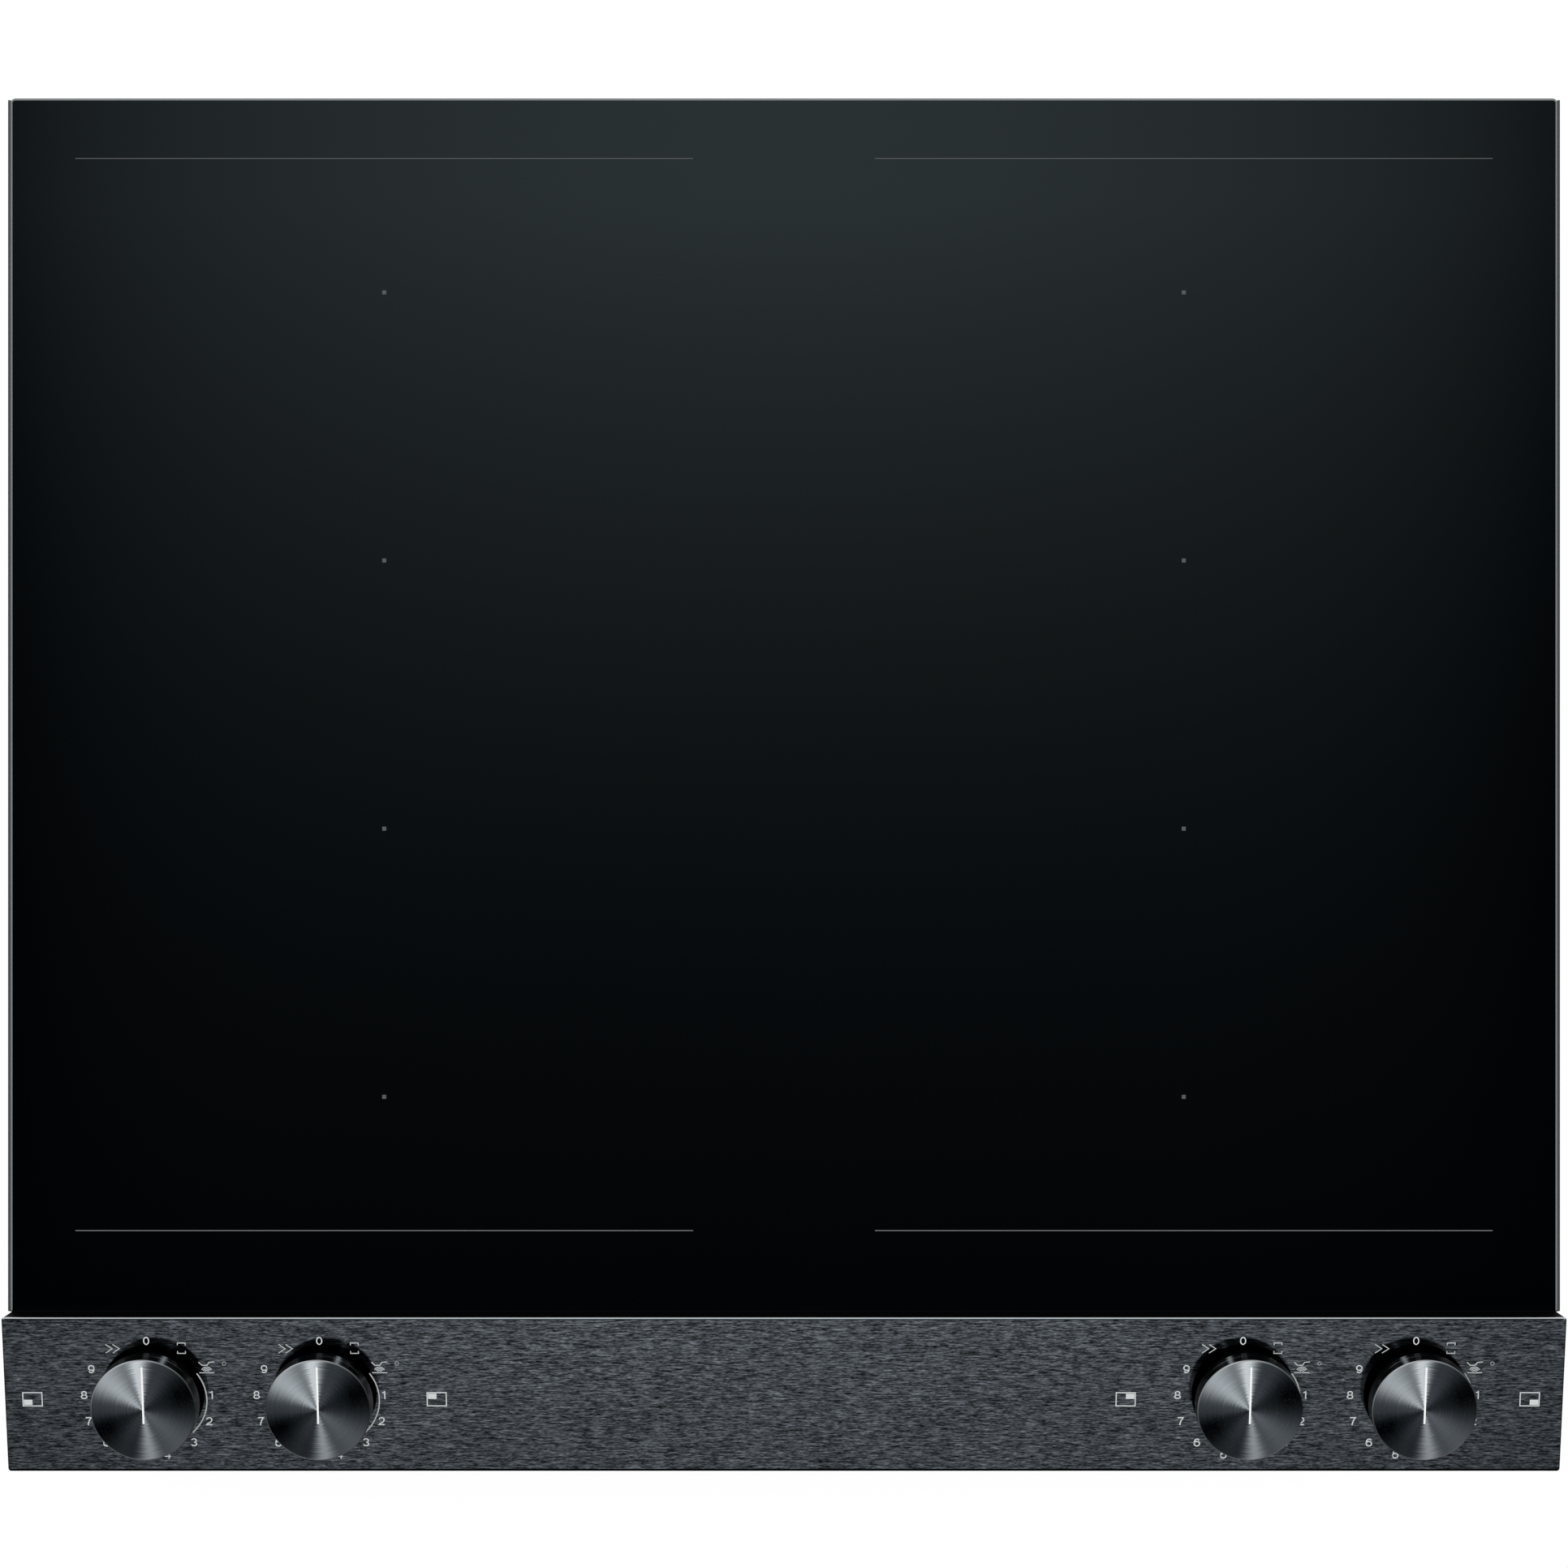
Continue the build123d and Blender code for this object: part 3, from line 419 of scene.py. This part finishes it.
def turned_knob(axis):
    """Dark turned steel, one finish for each knob's axis.

    The face's brightness is painted light: a sum of bells over the angle atan2(y, x) round the axis,
    painted as fans of reflected light, crossed by fine rings, a noise of the radius alone. The side is
    painted near black as shade, with one narrow painted highlight streak and a painted glow of
    highlight on a thin line round it.
    """
    finish = Finish("turned_steel", metallic=1.0)
    from_axis = finish.node("VectorMath", {"operation": "SUBTRACT"}, [finish.spot, tuple(axis)])
    level = {"Vector": from_axis, "Angle": -panel_tilt}
    x, y, z = finish.axes(finish.node("VectorRotate", {"rotation_type": "X_AXIS"}, level))
    radius = (x * x + y * y) ** 0.5
    rings = finish.grain(finish.vector(radius * 2300), 1.0, 3.0)
    jitter = (finish.grain(finish.vector(radius * 1500, 7.0), 1.0, 1.0) - 0.5) * 22
    angle = x.math("ARCTAN2", y, x) * degrees(1)
    # Painted light: the face's fans of reflected light, summed over the angle
    light = sum(fan(angle + jitter, *face_fan) for face_fan in PAINTED_FACE_FANS)
    light = light + 0.026 * radius.below(0.45 * knob_radius, 0.5 * knob_radius)
    dust = finish.grain(finish.spot, 2400.0, 1.0).above(0.67, 0.08)
    groove = radius.between(12.9 * mm, 13.15 * mm, 0.1 * mm)
    centre = radius.between(1.5 * mm, 1.75 * mm, 0.1 * mm)
    cut = 0.72 + rings * 0.55 + groove * 0.18 - centre * 0.3
    # Steel tinted bluer where the painted light is low
    steel = finish.tint(light.above(0.12, 0.24), (0.86, 1.0, 1.14), (0.95, 1.0, 1.04))
    face = finish.shade(steel, light * cut + dust * 0.022)
    toward = -1 if axis.x > 0 else 1
    (streak, *streak_bell), (glow, *glow_bell) = SIDE_HIGHLIGHT_STREAK, SIDE_HIGHLIGHT_GLOW
    # The side is painted near black as shade, with a painted highlight streak and a painted glow of highlight on a
    # thin line
    line_height, line_width, rim_width, rim_depth = 7.6 * mm, 0.2 * mm, 0.38 * mm, 0.42 * mm
    on_line = z.between(line_height, line_height + line_width, 0.1 * mm)
    glint = fan(angle, 90 - streak * toward, *streak_bell)
    glint = glint + fan(angle, 90 - glow * toward, *glow_bell) * on_line
    side_steel = (0.95, 1.0, 1.05)
    side = finish.shade(side_steel, 0.004 + glint)
    # Painted highlight on the rim's bevel, a bell over the angle
    rim = finish.shade(side_steel, 0.02 + fan(angle, *RIM_HIGHLIGHT_FAN))
    on_rim = radius.above(knob_radius - rim_width, 0.04 * mm)
    on_rim = on_rim * z.above(knob_face - rim_depth, 0.08 * mm)
    on_face = z.above(knob_face - 0.03 * mm, 0.04 * mm)
    finish.feed("Base Color", finish.tint(on_rim, finish.tint(on_face, side, face), rim))
    finish.feed("Metallic", on_face.at_least(on_rim).at_least(1 - glint * 4))
    finish.feed("Roughness", 0.26 + rings * 0.1)
    finish.relief(rings, 0.01 * mm, 0.25)
    return finish


def printed(name, color):
    """Screen print: paint with a fine speckle in colour and gloss."""
    finish = Finish(name, Specular_IOR_Level=0.2)
    speck = finish.grain(finish.spot, 1500.0)
    finish.feed("Base Color", finish.shade(color, 0.94 + speck * 0.12))
    finish.feed("Roughness", 0.5 + speck * 0.15)
    return finish


def moulded(name, color, roughness, pitch=900.0, gloss=0.5):
    """Moulded plastic or rubber: a cloudy colour under a fine eroded grain."""
    finish = Finish(name, Specular_IOR_Level=gloss)
    grain = finish.grain(finish.spot, pitch, 3.0)
    cloud = finish.grain(finish.spot, 25.0)
    finish.feed("Base Color", finish.shade(color, 0.85 + cloud * 0.3))
    finish.feed("Roughness", roughness - 0.06 + grain * 0.12)
    finish.relief(grain, 0.03 * mm, 0.4)
    return finish


def drawn_metal(name, color, roughness, stretch, contrast=0.35):
    """Metal with fine lines along the axis that has the smallest factor, over slow clouds."""
    finish = Finish(name, metallic=1.0)
    lines = finish.grain(finish.stretched(*stretch), 1.0, 3.0)
    cloud = finish.grain(finish.spot, 30.0, 3.0)
    finish.feed("Base Color", finish.shade(color, 1 + (lines - 0.5) * contrast + (cloud - 0.5) * contrast))
    finish.feed("Roughness", roughness + (cloud - 0.5) * 0.15)
    finish.relief(lines, 0.01 * mm, 0.3)
    return finish


def galvanised_steel():
    """Hot-dip zinc: flat crystals a few millimetres across, each with its own grey and gloss."""
    finish = Finish("galvanised_steel", metallic=1.0)
    crystal = finish.cells(finish.spot, 170.0)
    cloud = finish.grain(finish.spot, 18.0, 3.0)
    finish.feed("Base Color", finish.shade((0.60, 0.62, 0.63), 0.72 + crystal * 0.22 + cloud * 0.16))
    finish.feed("Roughness", 0.34 + crystal * 0.16)
    finish.relief(crystal, 0.01 * mm, 0.25)
    return finish


def wound_copper():
    """Litz wire wound in ovals: the turns are a cosine of the distance from each coil's middle line.

    X is mirrored and Y wrapped by the coils' pitch, so one finish serves all eight.
    """
    finish = Finish("copper_litz", metallic=0.85)
    low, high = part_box("coil_right_1")
    middle, half_length, half_width = (low + high) / 2, (high.x - low.x) / 2, (high.y - low.y) / 2
    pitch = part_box("coil_right_2")[0].y - low.y
    x, y, _ = finish.axes(finish.spot)
    past = (abs(abs(x) - middle.x) - (half_length - half_width)).at_least(0.0)
    across = (y - middle.y).wrapped(pitch / 2)
    distance = (past * past + across * across) ** 0.5
    turn_pitch = 2.3 * mm
    turns = distance.math("COSINE", distance * (2 * pi / turn_pitch)) * 0.5 + 0.5
    twist = finish.grain(finish.spot, 1400.0)
    finish.feed("Base Color", finish.shade((0.60, 0.24, 0.11), 0.3 + turns * 0.45 + twist * 0.3))
    finish.feed("Roughness", 0.32 + twist * 0.15)
    finish.relief(turns * 0.7 + twist * 0.3, 0.6 * mm, 0.7)
    return finish


def circuit_board():
    """Green solder mask over copper tracks, with tinned round pads."""
    finish = Finish("circuit_green")
    tracks = finish.node("TexBrick", None, {"Vector": finish.spot, "Scale": 60.0}, "Fac")
    near = finish.node("TexVoronoi", {"feature": "F1"}, {"Vector": finish.spot, "Scale": 190.0}, "Distance")
    pad = near.below(0.16, 0.04)
    mask = finish.tint(tracks, (0.012, 0.10, 0.045), (0.02, 0.17, 0.07))
    finish.feed("Base Color", finish.tint(pad, mask, (0.55, 0.56, 0.55)))
    finish.feed("Roughness", 0.42 - pad * 0.12)
    finish.feed("Metallic", pad)
    finish.relief(tracks + pad, 0.05 * mm, 0.5)
    return finish


def mica_paper():
    """Pressed mica: pale flakes in brownish resin."""
    finish = Finish("mica")
    flake = finish.cells(finish.stretched(1, 1, 6), 420.0)
    finish.feed("Base Color", finish.tint(flake, (0.40, 0.33, 0.24), (0.66, 0.58, 0.47)))
    finish.feed("Roughness", 0.3 + flake * 0.3)
    return finish


def light_guide_painted_dark():
    """Light guide under each knob, painted near black as the shade under the knob."""
    finish = Finish("clear_diffuser", IOR=1.49, Transmission_Weight=0.3)
    frost = finish.grain(finish.spot, 700.0, 3.0)
    # Near black colour painted as the shade under the knob
    finish.feed("Base Color", finish.tint(frost, (0.010, 0.011, 0.012), (0.020, 0.021, 0.022)))
    finish.feed("Roughness", 0.3 + frost * 0.2)
    return finish


def board_components():
    """Sleeved film capacitors in blue, and copper windings on the filter board at the back."""
    finish = Finish("component_blue", roughness=0.35)
    _, y, z = finish.axes(finish.spot)
    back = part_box("power_components")[1].y
    wire_pitch, filter_depth = 1.2 * mm, 40 * mm
    turns = z.math("SINE", z * (2 * pi / wire_pitch)) * 0.5 + 0.5
    cloud = finish.grain(finish.spot, 120.0)
    sleeve = finish.shade((0.06, 0.12, 0.30), 0.8 + cloud * 0.4)
    wound = finish.shade((0.42, 0.20, 0.10), 0.5 + turns * 0.5)
    finish.feed("Base Color", finish.tint(y.above(back - filter_depth, 1 * mm), sleeve, wound))
    finish.relief(turns, 0.2 * mm, 0.3)
    return finish


FINISHES = {
    "black_glass": black_glass,
    "black_trim": side_rail,
    "dark_brushed_steel": brushed_panel,
    "galvanised_steel": galvanised_steel,
    "spring_steel": lambda: drawn_metal("spring_steel", (0.46, 0.47, 0.48), 0.30, (900, 900, 20)),
    "bright_steel": lambda: drawn_metal("bright_steel", (0.62, 0.62, 0.61), 0.24, (900, 900, 60)),
    "motor_steel": lambda: drawn_metal("motor_steel", (0.20, 0.20, 0.21), 0.40, (20, 20, 1400)),
    "aluminium": lambda: drawn_metal("aluminium", (0.78, 0.79, 0.80), 0.33, (20, 900, 900)),
    "copper_litz": wound_copper,
    "ferrite": lambda: moulded("ferrite", (0.05, 0.05, 0.054), 0.7, 1500.0),
    "mica": mica_paper,
    "silicone_black": lambda: moulded("silicone_black", (0.004, 0.004, 0.004), 0.6, 300.0, 0.05),
    "foam_tape": lambda: moulded("foam_tape", (0.06, 0.06, 0.062), 0.9, 1200.0),
    "rubber_grey": lambda: moulded("rubber_grey", (0.17, 0.17, 0.17), 0.75),
    "black_moulding": lambda: moulded("black_moulding", (0.028, 0.029, 0.031), 0.5),
    "grey_moulding": lambda: moulded("grey_moulding", (0.30, 0.31, 0.32), 0.5),
    "circuit_green": circuit_board,
    "component_blue": board_components,
    "clear_diffuser": light_guide_painted_dark,
    "white_inlay": lambda: printed("white_inlay", (0.92, 0.93, 0.93)),
}


def dress_nodes():
    """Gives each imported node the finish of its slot; a knob cap's depends on its own axis."""
    finishes = {slot: make() for slot, make in FINISHES.items()}
    for subpart in frame["record"]["subparts"]:
        node, slot = subpart["node"], subpart["material_slot"]
        finish = finishes[slot] if slot in finishes else turned_knob(knob_axes[int(node[-1]) - 1])
        slots = frame["nodes"][node].data.materials
        slots.clear()
        slots.append(finish.material)
    return finishes


# Printed marks, drawn as strokes in millimetres


def bow(x, y, width, height, start, end):
    """Points of an oval's arc about (x, y); angles run clockwise from the top, in degrees."""
    step = 15 if width < 6 else 4
    angle = np.radians(np.linspace(start, end, max(3, round(abs(end - start) / step) + 1)))
    return np.column_stack([x + width / 2 * np.sin(angle), y + height / 2 * np.cos(angle)]).tolist()


six = [bow(0, -0.46, 2.0, 1.84, 0, 360), [(-1.0, -0.46), *bow(0.05, 0, 2.1, 2.76, -90, 50)]]
chevron = np.array([(-1.25, 1.7), (1.25, 0), (-1.25, -1.7)])
bracket = np.array([(-1.47, 1.15), (-1.47, 2.05), (1.47, 2.05), (1.47, 1.15)])
MARKS = {
    "0": [bow(0, 0, 1.9, 2.76, 0, 360)],
    "1": [[(-0.6, 0.98), (-0.05, 1.1), (0.3, 1.5)], [(0.3, 1.6), (0.3, -1.6)]],
    "2": [[*bow(0, 0.5, 1.96, 1.76, -80, 100), (0.5, -0.35), (-0.6, -0.95), (-1.0, -1.38), (1.1, -1.38)]],
    "3": [bow(-0.02, 0.69, 1.75, 1.38, -75, 180), bow(-0.02, -0.69, 2.0, 1.38, 0, 255)],
    "4": [[(0.45, -1.6), (0.45, 1.38), (-1.08, -0.7), (1.12, -0.7)]],
    "5": [[(0.85, 1.38), (-0.68, 1.38), *bow(-0.05, -0.46, 2.0, 1.84, -62, 250)]],
    "6": six,
    "7": [[(-1.05, 1.38), (1.02, 1.38), (0.4, 0.5), (0.0, -0.5), (-0.2, -1.6)]],
    "8": [bow(0, 0.71, 1.7, 1.34, 0, 360), bow(0, -0.68, 2.05, 1.4, 0, 360)],
    "9": [-np.array(stroke) for stroke in six],
    "boost": [chevron - (1.33, 0), chevron + (1.33, 0)],
    "bridge": [bracket, bracket * (1, -1)],
    "keep_warm": [
        [(-2.95, 2.1), (-1.7, 0.85), (0.2, 0.85), (0.95, 2.0), (2.95, 2.2)],
        [(-2.8, -2.1), (2.9, -2.1)],
        *[bow(0, -2.0, size, size, -60, 60) for size in (1.7, 3.0, 4.3)],
    ],
}

# Place of each mark on a dial: degrees clockwise from the top, and millimetres from the middle
DIAL = {
    "0": (0, 22.7), "bridge": (33.6, 23.8), "keep_warm": (61.4, 25.5), "1": (87, 23.9), "2": (111.8, 24.5),
    "3": (136.4, 24.2), "4": (163.6, 23.4), "5": (195.6, 23.3), "6": (223.0, 24.1), "7": (248.3, 24.6),
    "8": (273, 24.2), "9": (298.7, 24.0), "boost": (326.9, 23.4),
}
SIMMER_ARC = (4.65, -0.65, 34.9, 34.9, 53, 138)
DEGREE_SIGN = (29.0, 13.75, 1.35, 1.35, 0, 360)

# A dial's middle stands off its knob's axis by the shift, less the axis's own X times the shrink
print_shift, print_shrink = -1.07 * mm, 0.0019

# Widths of the printed lines, in millimetres
figure_line, symbol_line, arc_line, sign_line, outline_line = 0.43, 0.34, 0.46, 0.12, 0.4

# Middle of each zone symbol along X, in millimetres, and the signs of the quarter that it fills
ZONE_SYMBOLS = {
    "front_left": (-283.5, (-1, -1)), "back_left": (-131.0, (-1, 1)),
    "back_right": (128.9, (1, 1)), "front_right": (281.3, (1, -1)),
}


def strokes(paths, width, x=0.0, y=0.0):
    """Ink lines along paths in millimetres, moved to (x, y)."""
    return [ink_line((np.array(path) + (x, y)) * mm, width * mm) for path in paths]


def on_panel(name, shapes, place, ink):
    """Flat shapes joined and laid on the sloping panel about a place on it."""
    piece(name, moved(joined(shapes), place, panel_right, panel_up, panel_out), ink)


def dial_print(number, axis, figure_ink, symbol_ink):
    """Ring of marks round a knob, with the arc of the simmering range and a degree sign."""
    place = axis + Vector((print_shift - print_shrink * axis.x, 0, 0))
    figures, symbols = [], []
    for mark, (angle, radius) in DIAL.items():
        x, y = bow(0, 0, 2 * radius, 2 * radius, angle, angle)[0]
        if mark.isdigit():
            figures += strokes(MARKS[mark], figure_line, x, y)
        else:
            symbols += strokes(MARKS[mark], symbol_line, x, y)
    symbols += strokes([bow(*SIMMER_ARC)], arc_line) + strokes([bow(*DEGREE_SIGN)], sign_line)
    on_panel(f"dial_figures_{number}", figures, place, figure_ink)
    on_panel(f"dial_symbols_{number}", symbols, place, symbol_ink)


def zone_symbol(name, x, filled, ink):
    """Outline of the hob with one quarter filled; the signs of the filled quarter are given."""
    half = np.array([3.6, 2.62])
    margin, end_gap, height_gap, drop = 0.25, 0.2, 0.55, 0.43 * mm
    outline = np.array([(-1, -1), (1, -1), (1, 1), (-1, 1), (-1, -1)]) * half
    middle = np.array(filled) * (half - margin) / 2
    fill = middle + [(-half[0] / 2 + end_gap, 0), (half[0] / 2 - end_gap, 0)]
    place = Vector((x * mm, knob_axes[0].y, knob_axes[0].z)) - drop * panel_up
    shapes = strokes([outline], outline_line) + strokes([fill], half[1] - height_gap)
    on_panel(f"zone_symbol_{name}", shapes, place, ink)


def zone_prints(front_ink, back_ink):
    """A line before and behind each zone, and a small square over the middle of each coil."""
    front, back, dots = [], [], []
    margin, line, dot, shift_back = 2.3 * mm, 0.3 * mm, 1.5 * mm, 0.2 * mm
    for side in ("left", "right"):
        coils = [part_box(f"coil_{side}_{number}") for number in range(1, 5)]
        left, right = coils[0][0].x - margin, coils[0][1].x + margin
        low, high = coils[0][0].y - margin, coils[-1][1].y + margin
        front.append(ink_line([(left, low), (right, low)], line))
        back.append(ink_line([(left, high), (right, high)], line))
        for corner, opposite in coils:
            x, y = (corner.x + opposite.x) / 2, (corner.y + opposite.y) / 2
            dots.append(ink_line([(x - dot / 2, y), (x + dot / 2, y)], dot))
    glass = (0, shift_back, glass_high.z)
    piece("zone_lines_front", moved(joined(front), glass), front_ink)
    piece("zone_lines_back", moved(joined(back), glass), back_ink)
    piece("zone_dots", moved(joined(dots), glass), back_ink)


# Small screws on the tray's walls


def wall_screw(place, out, radius):
    """Pan-head screw: a quarter-round crown and a star recess, turned round the wall's direction."""
    angle = np.linspace(0, pi / 2, 5)
    crown = np.column_stack([radius * (0.7 + 0.3 * np.cos(angle)), radius * 0.55 * np.sin(angle)])
    recess = [(radius * 0.4, radius * 0.55), (radius * 0.36, radius * 0.25)]
    shape = lathe([(radius, -0.1 * mm), *crown, *recess], 18, (6, 7))
    up = Vector((0, 0, 1))
    return moved(shape, place, up.cross(out), up, out)


def tray_screws(finish):
    """Two screws through each spring clip, and a row that holds the tray to its frame."""
    frame_screw, clip_screw, sheet = 2.6 * mm, 1.6 * mm, 0.8 * mm
    clip_middle, clip_top, half_pair = 8 * mm, 5 * mm, 4.5 * mm
    side_places, back_places = np.linspace(-0.19, 0.19, 3), np.linspace(-0.24, 0.24, 5)
    high_row = tray_high.z - 6.5 * mm
    screws = []
    for side in (-1, 1):
        wall = side * tray_high.x
        out = Vector((side, 0, 0))
        screws += [wall_screw((wall, y, high_row), out, frame_screw) for y in side_places]
        for clip_y in (clip_low.y + clip_middle, clip_high.y - clip_middle):
            face = wall + side * sheet
            spots = [(face, clip_y + shift, clip_high.z - clip_top) for shift in (-half_pair, half_pair)]
            screws += [wall_screw(spot, out, clip_screw) for spot in spots]
    back, out = -tray_low.y, Vector((0, 1, 0))
    screws += [wall_screw((x, back, high_row), out, frame_screw) for x in back_places]
    piece("tray_screws", joined(screws), finish)


# Studio


def area_light(name, place, size, power):
    """Square lamp that faces the middle of the hob; the glass doesn't mirror it."""
    light = bpy.data.lights.new(name, "AREA")
    light.size, light.energy = size, power
    made = bpy.data.objects.new(name, light)
    made.location = place
    made.rotation_euler = (-Vector(place)).to_track_quat("-Z", "Y").to_euler()
    made.visible_glossy = False
    bpy.context.scene.collection.objects.link(made)


def flat_stage(name, x, y, z, finish):
    """Level rectangle between two values of X and of Y, outside the object."""
    points = np.array([(x[0], y[0], z), (x[1], y[0], z), (x[1], y[1], z), (x[0], y[1], z)])
    made = piece(name, (points, [np.arange(4)[None]]), finish, body=None)
    return made


def studio_floor():
    """Pale floor that looks white and keeps the object's soft shadow, and lights it as a grey one."""
    finish = Finish("studio_floor", (0.75, 0.75, 0.75), 0.9)
    shadowed = finish.node("BsdfDiffuse", None, {"Color": (0.22, 0.22, 0.22)})
    glow = finish.node("Emission", None, {"Color": (1, 1, 1), "Strength": studio_grey})
    white = finish.node("AddShader", None, [shadowed, glow])
    plain = Wire(finish, finish.shader.outputs[0])
    finish.surface(finish.node("MixShader", None, [finish.looked_at(), plain, white]))
    flat_stage("studio_floor", (-6, 6), (-6, 6), cad_box[0].z - 0.2 * mm, finish)


def overhead_card(height=1.7):
    """Glowing card above the camera that only reflections see.

    Towards the back its light rises as a power of Y, strong along the middle and faint at the sides, and
    it fades out over the middle of the glass. A soft field over the front shows in the sloping panel: it
    falls with the square of X, and grows along Y. The card itself turns clear towards its edges, so no
    reflection ends in a hard line.
    """
    finish = Finish("overhead_card")
    spread = 1 + (height - glass_high.z) / camera_distance
    half_width, front_end, back_end = 1.4, -2.1, 1.2
    rise_from, rise_depth, full_rise = -0.19, 0.42, 0.98
    bell_width, half_glass = 0.275 * spread, 0.294 * spread
    x, y, _ = finish.axes(finish.spot)
    rise = finish.node("Clamp", None, [(y / spread - rise_from) / rise_depth, 0.0, full_rise])
    middle = x.bell(0, bell_width) * rise**3.4 * 0.55
    sides = finish.node("Clamp", None, [1 - (abs(x) / half_glass) ** 5])
    broad = sides * (0.012 + rise * 0.13 + rise * rise * 0.095)
    front = y.below(-0.8, 0.35) * (1 - (x / half_width) ** 2) * (1 + (y + 1.27) * 1.5) * 0.62
    color = finish.tint(y.above(-0.7, 0.3), (0.94, 1.0, 1.04), (0.77, 1.0, 1.065))
    glow = finish.node("Emission", None, {"Color": color, "Strength": middle + broad + front})
    card_part = abs(x).below(1.1, 0.6) * y.between(-1.85, 0.95, 0.5)
    clear = finish.node("BsdfTransparent")
    finish.surface(finish.node("MixShader", None, [card_part, clear, glow]))
    sides_of_card, ends = (-half_width, half_width), (front_end, back_end)
    card = flat_stage("overhead_card", sides_of_card, ends, height, finish)
    card.visible_camera = card.visible_diffuse = card.visible_shadow = card.visible_transmission = False


def studio_world():
    """Even surroundings: white where they are seen or mirrored, a plain grey as light."""
    world = bpy.data.worlds.new("studio_world")
    world.use_nodes = True
    nodes = Nodes(world.node_tree)
    background = world.node_tree.nodes["Background"]
    nodes.plug(background.inputs["Color"], (1, 1, 1))
    nodes.plug(background.inputs["Strength"], studio_grey + nodes.looked_at() * (1 - studio_grey))
    bpy.context.scene.world = world


def overhead_camera():
    """Camera straight above the middle of the outline, its top towards the back."""
    camera = bpy.data.cameras.new("overhead_camera")
    camera.lens = camera_lens
    made = bpy.data.objects.new("overhead_camera", camera)
    made.location = (0, camera_y, glass_high.z + camera_distance)
    bpy.context.scene.collection.objects.link(made)
    bpy.context.scene.camera = made


overhead_camera()
overhead_card()
studio_floor()
studio_world()
area_light("back_left_light", (-1.3, 1.4, 2.1), 1.0, 13.0)
area_light("front_right_light", (1.6, -0.7, 1.9), 1.2, 6.5)
bpy.context.scene.view_settings.view_transform = "Standard"

finishes = dress_nodes()
figure_ink = printed("figure_print", (0.77, 0.80, 0.80))
symbol_ink = printed("symbol_print", (0.62, 0.64, 0.64))
zone_prints(
    printed("zone_print_front", (0.175, 0.185, 0.19)),
    printed("zone_print_back", (0.088, 0.095, 0.098)),
)
for number, axis in enumerate(knob_axes, 1):
    dial_print(number, axis, figure_ink, symbol_ink)
for name, (x, filled) in ZONE_SYMBOLS.items():
    zone_symbol(name, x, filled, symbol_ink)
tray_screws(finishes["bright_steel"])
